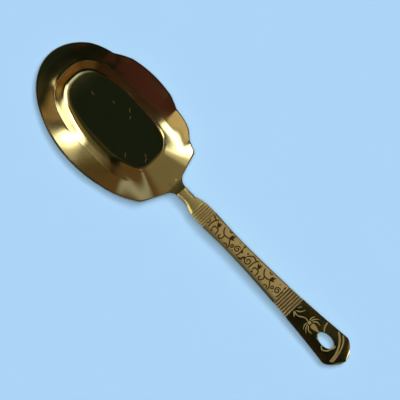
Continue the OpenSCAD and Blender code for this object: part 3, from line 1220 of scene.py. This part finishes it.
    def stations(self) -> list[float]:
        """Spaces the sections along the handle, close together in the ribs and the point.

        Returns:
            The sections' places along the spoon.
        """
        ribs = self.rib_steps * self.grooves
        legs = ((self.seam_x, self.front_x, self.leg_steps), (self.front_x, self.front_end, ribs),
                (self.front_end, self.rear_x, self.panel_steps),
                (self.rear_x, self.rear_end, ribs), (self.rear_end, self.corner_x, self.leg_steps))
        even = [lerp(a, b, i / n) for a, b, n in legs for i in range(n)]
        point = [self.corner_x + self.point_len * math.sin(math.pi / 2 * i / self.point_steps)
                 for i in range(self.point_steps + 1)]
        return [*even, *point]

    def rebate_block(self) -> Piece:
        """Makes the block that cuts the tongue's rebate out of the stem.

        Returns:
            The block.
        """
        deselect()
        high = self.neck_h + self.sheet + self.braze
        back = self.lap_x + self.braze
        bpy.ops.mesh.primitive_cube_add(size=1.0)
        block = named("rebate_block")
        low_corner = Vector((self.seam_x - self.lap, -self.band_w, self.neck_h - self.stem_t))
        high_corner = Vector((back, self.band_w, high))
        bpy.ops.transform.resize(value=(high_corner - low_corner) * MM)
        bpy.ops.transform.translate(value=(high_corner + low_corner) * MM / 2)
        bpy.ops.object.transform_apply()
        return block

    def hole_plug(self) -> Piece:
        """Makes the oval plug that cuts the hanging hole.

        Returns:
            The plug.
        """
        deselect()
        bpy.ops.mesh.primitive_cylinder_add(vertices=self.hole_steps, radius=0.5,
                                            depth=self.plug_h * MM)
        plug = named("hole_plug")
        bpy.ops.transform.resize(value=(self.hole_len * MM, self.hole_w * MM, 1.0))
        bpy.ops.transform.translate(value=((self.end_x - self.hole_from_end) * MM, 0.0, 0.0))
        bpy.ops.object.transform_apply()
        return plug

    def build(self) -> Piece:
        """Lofts the bar, cuts the rebate and the hole, and rounds the sharp edges.

        Returns:
            The handle's piece.
        """
        bar = loft("handle_bar", [self.section(x) for x in self.stations()])
        cut_away(bar, self.rebate_block())
        cut_away(bar, self.hole_plug())
        round_edges(bar, self.edge_round, self.sharp_angle)
        return bar

    def dress(self, effects: Effects) -> None:
        """Builds the handle, gives it its finish and sets it on the body.

        Args:
            effects: The shared surface effects.
        """
        bar = self.build()
        bar.data.materials.append(HANDLE_GOLD.make(effects, self.seam_x))
        ride_root(bar, "satin_gold")
        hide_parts("handle")


# Ornament on the handle's top


PATH_STEPS = 10
CURL_STEPS = 10
LEAST_CURL_STEPS = 6
LEAST_WIDTH = 0.02
LINE_WIDTH = 0.72
CURL_WIDTH = 0.68
BLUNT_POWER = 8
LEAF_SKEW = 0.7
LEAF_POWER = 0.9


class Nib(Enum):
    """How wide a stroke is along its length."""

    LINE = "line"
    LEAF = "leaf"
    BEAD = "bead"

    def share(self, t: float) -> float:
        """Follows the nib's width along a stroke.

        Args:
            t: Place along the stroke, from 0 at its start to 1 at its end.

        Returns:
            The share of the full width.
        """
        if self is Nib.LEAF:
            return math.sin(math.pi * t**LEAF_SKEW) ** LEAF_POWER if 0 < t < 1 else 0.0
        power = 2 if self is Nib.BEAD else BLUNT_POWER
        return math.sqrt(max(0.0, 1 - abs(2 * t - 1) ** power))


@dataclass(frozen=True)
class Stroke:
    """One stroke of the ornament in plan, in millimetres."""

    points: tuple[Plan, ...]
    width: float
    nib: Nib

    def ribbon(self) -> Piece:
        """Makes the stroke a flat ribbon from a primitive grid.

        Returns:
            The ribbon, lying at height zero, in metres.
        """
        path = rounded_path(self.points, PATH_STEPS)
        last = len(path) - 1
        deselect()
        bpy.ops.mesh.primitive_grid_add(x_subdivisions=last, y_subdivisions=2, size=2.0)
        flat = named("stroke")
        for corner in flat.data.vertices:
            i, side = round((corner.co.x + 1) / 2 * last), corner.co.y
            (x0, y0), (x1, y1) = path[max(0, i - 1)], path[min(last, i + 1)]
            along = Vector((x1 - x0, y1 - y0)).normalized()
            half = side * max(LEAST_WIDTH, self.width * self.nib.share(i / last)) / 2
            corner.co = Vector((path[i][0] - along.y * half, path[i][1] + along.x * half, 0)) * MM
        return flat


def line(*points: Plan, width: float = LINE_WIDTH) -> Stroke:
    """A line of even width."""
    return Stroke(points, width, Nib.LINE)


def leaf(width: float, *points: Plan) -> Stroke:
    """A leaf or petal, pointed at both ends."""
    return Stroke(points, width, Nib.LEAF)


def spiral(x: float, y: float, r0: float, r1: float, start: float, turns: float) -> Stroke:
    """A curl that winds in round a middle.

    Args:
        x: Middle of the curl along the spoon.
        y: Middle of the curl across the spoon.
        r0: Radius at its start.
        r1: Radius at its end.
        start: Angle at its start, in degrees.
        turns: Turns to its end, anticlockwise.

    Returns:
        The stroke.
    """
    count = max(LEAST_CURL_STEPS, round(CURL_STEPS * turns))
    angles = [math.radians(start + FULL_TURN * turns * i / count) for i in range(count + 1)]
    radii = [lerp(r0, r1, i / count) for i in range(count + 1)]
    points = ((x + r * math.cos(a), y + r * math.sin(a)) for a, r in zip(angles, radii))
    return line(*points, width=CURL_WIDTH)


def bead(x: float, y: float, r: float) -> Stroke:
    """A round dot."""
    return Stroke(((x - r, y), (x, y), (x + r, y)), 2 * r, Nib.BEAD)


def petals(root: Plan, tips: Sequence[Plan], width: float) -> list[Stroke]:
    """Leaf strokes that fan out from one root to several tips."""
    return [leaf(width, root, tip) for tip in tips]


VINE_UNIT: tuple[Stroke, ...] = (
    line((-3.29, 2.68), (-3.87, 1.52), (-4.16, -0.22), (-4.16, -3.12)),
    line((-9.28, 0.74), (-8.31, 1.9), (-7.15, 3.06), (-5.8, 3.64), (-4.25, 2.97), (-2.9, 3.06),
         (-2.22, 4.13)),
    *petals((0.04, 0.7), ((-2.03, 2.97), (-0.75, 3.5), (0.48, 3.55)), 1.0),
    line((0.04, 0.94), (0.0, 0.07), (-1.55, -0.13), (-1.93, -0.8), (-1.84, -2.2)),
    line((0.0, 0.07), (0.97, -0.22), (1.55, -1.19), (1.64, -3.51)),
    bead(-1.35, -2.93, 0.55),
    line((2.8, 3.74), (3.09, 2.68), (3.87, 1.52), (5.22, 0.36), (6.57, 0.26), (7.93, 0.55),
         (9.09, 1.03)),
    *petals((9.0, 1.0), ((9.4, 3.95), (10.9, 4.4), (11.6, 2.2)), 1.15),
    line((5.61, 0.16), (5.9, -1.19), (5.41, -2.54), (4.45, -3.12), (3.48, -2.54), (3.38, -1.6)),
    bead(3.71, -1.42, 0.42),
    line((8.99, 0.94), (10.05, -0.22), (11.02, -1.38), (11.5, -2.35), (11.5, -3.9)),
    spiral(12.66, -0.80, 1.15, 0.3, 215, 1.1),
    spiral(9.47, -3.51, 1.1, 1.05, 0, 0.5),
    spiral(6.96, 4.61, 0.9, 0.85, 185, 0.48),
    bead(14.79, 3.35, 0.35),
    bead(14.5, -2.54, 0.35),
    spiral(16.04, -0.13, 1.95, 0.4, 47, 1.4),
    leaf(0.9, (18.17, 4.8), (18.17, 3.6), (18.25, 2.1)),
    line((18.25, 2.3), (18.46, 0.16), (18.36, -1.96), (17.78, -3.12)),
    spiral(18.9, 0.55, 0.75, 0.25, 170, -0.8),
    spiral(-6.86, -0.42, 2.3, 0.45, 152, 1.3),
    bead(-9.67, 2.39, 0.5),
    leaf(1.3, (-9.3, 0.2), (-10.1, -1.0), (-11.2, -1.8)),
    leaf(1.1, (-9.9, -1.9), (-11.0, -2.7), (-13.2, -3.1)),
)

END_STROKES: tuple[Stroke, ...] = (
    leaf(0.6, (90.7, 1.56), (91.4, 2.4), (92.1, 3.76)),
    leaf(0.75, (91.1, -0.3), (92.1, 0.21), (93.2, 0.89), (94.4, 2.75), (94.6, 3.93)),
    leaf(0.8, (90.7, -1.48), (91.9, -2.4), (93.2, -3.68)),
    line((90.8, -0.97), (92.6, -1.65), (94.6, -1.31), (96.3, -0.13), (98.0, 0.55), (100.4, 0.38),
         width=0.65),
    bead(101.3, 0.38, 1.0),
    leaf(0.65, (100.4, 1.3), (100.3, 3.3), (101.2, 5.28)),
    leaf(0.7, (101.2, 1.7), (102.1, 4.0), (103.9, 5.62)),
    leaf(0.75, (102.1, 1.7), (103.9, 3.6), (106.9, 3.5)),
    leaf(0.75, (102.1, -0.9), (103.9, -2.9), (106.9, -2.75)),
    leaf(0.7, (101.2, -1.0), (102.4, -3.5), (104.4, -5.2)),
    leaf(0.65, (100.4, -0.6), (100.4, -2.8), (101.7, -4.86)),
    leaf(2.9, (102.8, 0.38), (104.8, 0.38), (108.8, 0.38)),
    line((108.3, 7.7), (108.5, 6.3), (109.2, 4.27), (110.7, 2.75), width=0.8),
    line((120.3, 1.9), (120.8, 0.55), (120.1, -1.14), (119.3, -3.17), (117.3, -4.86),
         (115.9, -4.52), (114.9, -3.5), width=0.8),
    line((115.9, 8.7), (119.6, 5.96), (122.0, 2.92), (123.7, -0.8), (124.5, -4.19), (124.7, -6.55),
         width=1.1),
    line((119.0, 8.9), (121.3, 7.2), (123.4, 3.93), (124.7, 0.21), (125.5, -3.51), (125.7, -5.88),
         width=0.8),
)


@dataclass
class Ornament:
    """Thin coined strokes that lie on the handle's top."""

    handle: HandleBar
    units: int = 3
    first_unit: float = 28.4
    unit_pitch: float = 31.75
    lift: float = 0.015
    relief: float = 0.04

    @staticmethod
    def gather(name: str, strokes: Sequence[Stroke]) -> Piece:
        """Makes the ribbons of some strokes and joins them into one flat piece.

        Args:
            name: Name of the new piece.
            strokes: The strokes to draw.

        Returns:
            The flat piece.
        """
        ribbons = [stroke.ribbon() for stroke in strokes]
        pick(*ribbons)
        bpy.ops.object.join()
        return named(name)

    def trim(self, piece: Piece) -> None:
        """Cuts off what reaches past the two ends of the panel.

        Args:
            piece: The object that is changed.
        """
        for x, outwards in ((self.handle.front_end, -1.0), (self.handle.rear_x, 1.0)):
            pick(piece)
            bpy.ops.object.mode_set(mode="EDIT")
            bpy.ops.mesh.select_all(action="SELECT")
            bpy.ops.mesh.bisect(plane_co=(x * MM, 0.0, 0.0), plane_no=(outwards, 0.0, 0.0),
                                clear_outer=True)
            bpy.ops.object.mode_set(mode="OBJECT")

    def lay(self, piece: Piece) -> None:
        """Lays a flat piece on the handle's top and gives it its relief.

        Args:
            piece: The object that is changed.
        """
        for corner in piece.data.vertices:
            height = self.handle.top(corner.co.x / MM, corner.co.y / MM) + self.lift
            corner.co.z = height * MM
        apply_modifier(piece, "SOLIDIFY", thickness=self.relief * MM, offset=1.0)
        shade(piece)

    def vine(self) -> Piece:
        """Makes the scrolling vine: one unit, copied along the panel and cut at its ends.

        Returns:
            The vine's piece.
        """
        unit = self.gather("vine_scroll", VINE_UNIT)
        pick(unit)
        first = self.handle.seam_x + self.first_unit
        bpy.ops.transform.translate(value=(first * MM, 0.0, 0.0))
        copies = [unit]
        for step in range(1, self.units):
            pick(unit)
            bpy.ops.object.duplicate()
            bpy.ops.transform.translate(value=(step * self.unit_pitch * MM, 0.0, 0.0))
            copies.append(bpy.context.active_object)
        pick(*copies)
        bpy.ops.object.transform_apply()
        pick(*copies)
        bpy.ops.object.join()
        vine = named("vine_scroll")
        self.trim(vine)
        self.lay(vine)
        return vine

    def flower(self) -> Piece:
        """Makes the sprig, the flower and the arcs round the hanging hole.

        Returns:
            The piece of all these strokes.
        """
        flower = self.gather("flower_and_arcs", END_STROKES)
        pick(flower)
        bpy.ops.transform.translate(value=(self.handle.seam_x * MM, 0.0, 0.0))
        bpy.ops.object.transform_apply()
        self.lay(flower)
        return flower

    def dress(self, effects: Effects) -> None:
        """Builds the two groups of strokes and gives them their finishes.

        Args:
            effects: The shared surface effects.
        """
        for piece, finish in ((self.vine(), VINE_GOLD), (self.flower(), SATIN_GOLD)):
            piece.data.materials.append(finish.make(effects))
            ride_root(piece, "satin_gold")


# Table, light and camera


@dataclass(frozen=True)
class WallPanel:
    """A stretch of the room that the metal mirrors, in degrees round and up."""

    middle: float
    half: float
    low: float
    high: float
    side_soft: float
    rise_soft: float
    light: Colour

    def shine(self, board: Board, around: Socket, up: Socket, rest: object) -> Socket:
        """Adds this stretch's light to the rest of the room's.

        Args:
            board: The board that the nodes are added to.
            around: Degrees round from +X towards +Y.
            up: Degrees above the horizon.
            rest: The light so far.

        Returns:
            The sum's socket.
        """
        turned = board.sum("ADD", around, FULL_TURN + HALF_TURN - self.middle)
        inside = board.sum("SUBTRACT", board.sum("MODULO", turned, FULL_TURN), HALF_TURN)
        aside = board.step(board.sum("ABSOLUTE", inside), self.half + self.side_soft,
                           self.half - self.side_soft)
        above = board.step(up, self.low - self.rise_soft, self.low + self.rise_soft)
        below = board.step(up, self.high + self.rise_soft, self.high - self.rise_soft)
        mask = board.sum("MULTIPLY", aside, board.sum("MULTIPLY", above, below))
        node = board.add("VectorMath", {0: mask, 1: self.light, 2: rest}, operation="MULTIPLY_ADD")
        return node.outputs[0]


@dataclass(frozen=True)
class Lamp:
    """A soft distant lamp that lights the table and that polished metal doesn't show.

    Its direction is in degrees from +X towards +Y and above the horizon, its disc in degrees.
    """

    name: str
    around: float
    up: float
    spread: float
    strength: float

    def hang(self) -> None:
        """Adds the lamp to the scene."""
        deselect()
        turn = (0.0, math.radians(90 - self.up), math.radians(self.around))
        bpy.ops.object.light_add(type="SUN", rotation=turn, location=(0.0, 0.0, 1.0))
        lamp = named(self.name)
        lamp.data.angle = math.radians(self.spread)
        lamp.data.energy = self.strength
        lamp.visible_glossy = False


@dataclass(frozen=True)
class Studio:
    """A pale table, two soft lamps, the dim room around them and the camera above."""

    table_size: float = 8.0
    table_blue: Colour = (0.418, 0.665, 0.939)
    table_rough: float = 0.9
    table_gloss: float = 0.1
    mottle: Span = (0.985, 1.01)
    mottle_cells: float = 25.0
    mottle_detail: float = 3.0
    camera_height: float = 3.0
    view_middle: Plan = (-2.05, 3.95)
    view_width: float = 220.4
    view_turn: float = 46.013
    middle_height: float = 8.0
    lamps: tuple[Lamp, ...] = (
        Lamp("table_lamp", around=88.0, up=70.0, spread=22.0, strength=1.54),
        Lamp("sky_lamp", around=0.0, up=90.0, spread=16.0, strength=1.68))
    room: Colour = (0.005, 0.0085, 0.007)
    panels: tuple[WallPanel, ...] = (
        # Windows and pale walls that the left side of the bowl mirrors
        WallPanel(80.0, 6.5, 46.5, 53.0, 4.0, 2.0, (4.0, 4.6, 6.0)),
        WallPanel(83.0, 7.5, 43.0, 51.0, 3.0, 2.0, (0.40, 0.50, 0.62)),
        WallPanel(69.0, 11.0, 30.0, 52.0, 6.0, 3.0, (1.8, 2.1, 2.7)),
        WallPanel(43.0, 21.0, 41.0, 58.0, 6.0, 3.0, (2.2, 2.6, 3.6)),
        WallPanel(88.0, 5.5, -8.0, 70.0, 4.0, 6.0, (0.1, 0.104, 0.085)),
        WallPanel(60.0, 26.0, 60.0, 70.0, 8.0, 4.0, (0.22, 0.17, 0.1)),
        WallPanel(58.0, 26.0, -4.0, 28.0, 10.0, 6.0, (0.2, 0.17, 0.11)),
        # What the tip's wall and rim mirror
        WallPanel(2.0, 20.0, 47.0, 66.0, 12.0, 4.0, (0.65, 0.9, 1.25)),
        WallPanel(328.0, 16.0, 50.0, 63.0, 10.0, 4.0, (0.22, 0.28, 0.34)),
        WallPanel(10.0, 35.0, -8.0, 26.0, 10.0, 6.0, (0.14, 0.07, 0.03)),
        WallPanel(317.0, 14.0, -8.0, 26.0, 8.0, 6.0, (0.088, 0.053, 0.02)),
        WallPanel(19.0, 5.0, 71.0, 74.5, 4.0, 0.8, (1.8, 1.85, 1.8)),
        WallPanel(2.0, 16.0, 71.0, 75.0, 8.0, 1.5, (0.12, 0.12, 0.1)),
        # What the shoulders and the ramp to the neck mirror
        WallPanel(232.0, 25.0, 34.4, 38.5, 5.0, 1.0, (4.5, 5.4, 7.2)),
        WallPanel(202.0, 5.0, 33.5, 38.5, 4.0, 1.0, (0.45, 0.52, 0.62)),
        WallPanel(239.0, 18.0, 42.0, 60.0, 4.0, 2.5, (0.58, 0.55, 0.47)),
        WallPanel(252.0, 10.0, 3.0, 22.0, 5.0, 4.0, (4.0, 4.2, 4.4)),
        WallPanel(187.0, 26.0, -6.0, 52.0, 12.0, 8.0, (0.18, 0.18, 0.165)),
        WallPanel(128.0, 33.0, -6.0, 55.0, 12.0, 8.0, (0.1, 0.066, 0.038)),
        WallPanel(141.0, 3.5, 29.0, 42.0, 4.0, 4.0, (0.24, 0.35, 0.55)),
        WallPanel(180.0, 40.0, 55.0, 76.0, 20.0, 9.0, (0.06, 0.058, 0.045)),
        # Dim stretches that the bowl's right side, its floor and the handle's end mirror
        WallPanel(272.0, 13.0, 42.0, 66.0, 3.0, 6.0, (0.044, 0.01, 0.018)),
        WallPanel(276.0, 22.0, -14.0, 44.0, 8.0, 6.0, (0.026, 0.011, 0.009)),
        WallPanel(270.0, 30.0, 70.0, 85.0, 20.0, 3.0, (0.032, 0.011, 0.012)),
        WallPanel(90.0, 45.0, 76.0, 85.0, 20.0, 3.0, (0.035, 0.036, 0.022)),
        WallPanel(180.0, 200.0, 84.0, 100.0, 1.0, 3.0, (0.003, 0.009, 0.011)),
    )

    def table(self) -> None:
        """Adds the pale table top, faintly mottled."""
        deselect()
        bpy.ops.mesh.primitive_plane_add(size=self.table_size)
        table = named("table_top")
        material = bpy.data.materials.new("pale_table")
        material.use_nodes = True
        board = Board(material.node_tree)
        cloud = board.cloud(board.place(), self.mottle_cells, self.mottle_detail)
        deep, light = (tuple(c * share for c in self.table_blue) for share in self.mottle)
        board.feed(material.node_tree.nodes["Principled BSDF"], {
            "Base Color": board.blend(cloud, deep, light), "Roughness": self.table_rough,
            "Specular IOR Level": self.table_gloss})
        table.data.materials.append(material)

    def room_light(self) -> None:
        """Builds the world: a dim room with a few brighter walls."""
        world = bpy.data.worlds.new("room")
        bpy.context.scene.world = world
        world.use_nodes = True
        board = Board(world.node_tree)
        ray = board.add("TexCoord").outputs["Generated"]
        x, y, z = board.add("SeparateXYZ", {0: ray}).outputs
        around = board.sum("DEGREES", board.sum("ARCTAN2", y, x))
        up = board.sum("DEGREES", board.sum("ARCSINE", z))
        total: object = self.room
        for panel in self.panels:
            total = panel.shine(board, around, up, total)
        board.feed(world.node_tree.nodes["Background"], {"Color": total})
        world.cycles_visibility.diffuse = False

    def camera(self) -> None:
        """Sets the camera straight above the spoon, turned as in the picture."""
        deselect()
        place = (self.view_middle[0] * MM, self.view_middle[1] * MM, self.camera_height)
        bpy.ops.object.camera_add(location=place,
                                  rotation=(0.0, 0.0, math.radians(self.view_turn)))
        camera = named("camera")
        away = self.camera_height - self.middle_height * MM
        camera.data.angle = 2 * math.atan(self.view_width * MM / 2 / away)
        bpy.context.scene.camera = camera

    def build(self) -> None:
        """Builds table, lamps, room and camera."""
        self.camera()
        self.table()
        for lamp in self.lamps:
            lamp.hang()
        self.room_light()
        bpy.context.scene.view_settings.view_transform = "Standard"


def millimetres(node: str) -> tuple[Vector, Vector]:
    """The box of a CAD node in millimetres."""
    low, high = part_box(node)
    return low / MM, high / MM


def main() -> None:
    """Builds the spoon's pieces in order, then the table, the light and the camera."""
    logging.basicConfig(level=logging.INFO, format="%(name)s %(message)s")
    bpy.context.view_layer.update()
    bowl_low, bowl_high = millimetres("bowl")
    handle_low, handle_high = millimetres("handle")
    film_low, film_high = millimetres("braze_seam")
    effects = Effects()
    bowl = BowlShell(tip_x=bowl_low.x, seam_x=handle_low.x, lap_x=bowl_high.x,
                     half_w=-bowl_low.y, neck_y=film_high.y, neck_h=film_low.z)
    bowl.dress(effects)
    handle = HandleBar(seam_x=handle_low.x, end_x=handle_high.x, lap_x=bowl_high.x,
                       neck_y=film_high.y, neck_h=film_low.z)
    handle.dress(effects)
    Ornament(handle).dress(effects)
    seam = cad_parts["braze_seam"]
    seam.data.materials.clear()
    seam.data.materials.append(BRAZE_METAL.make(effects))
    log.info("braze_seam: CAD solid kept, finish braze_filler")
    Studio().build()


if __name__ == "__main__":
    main()
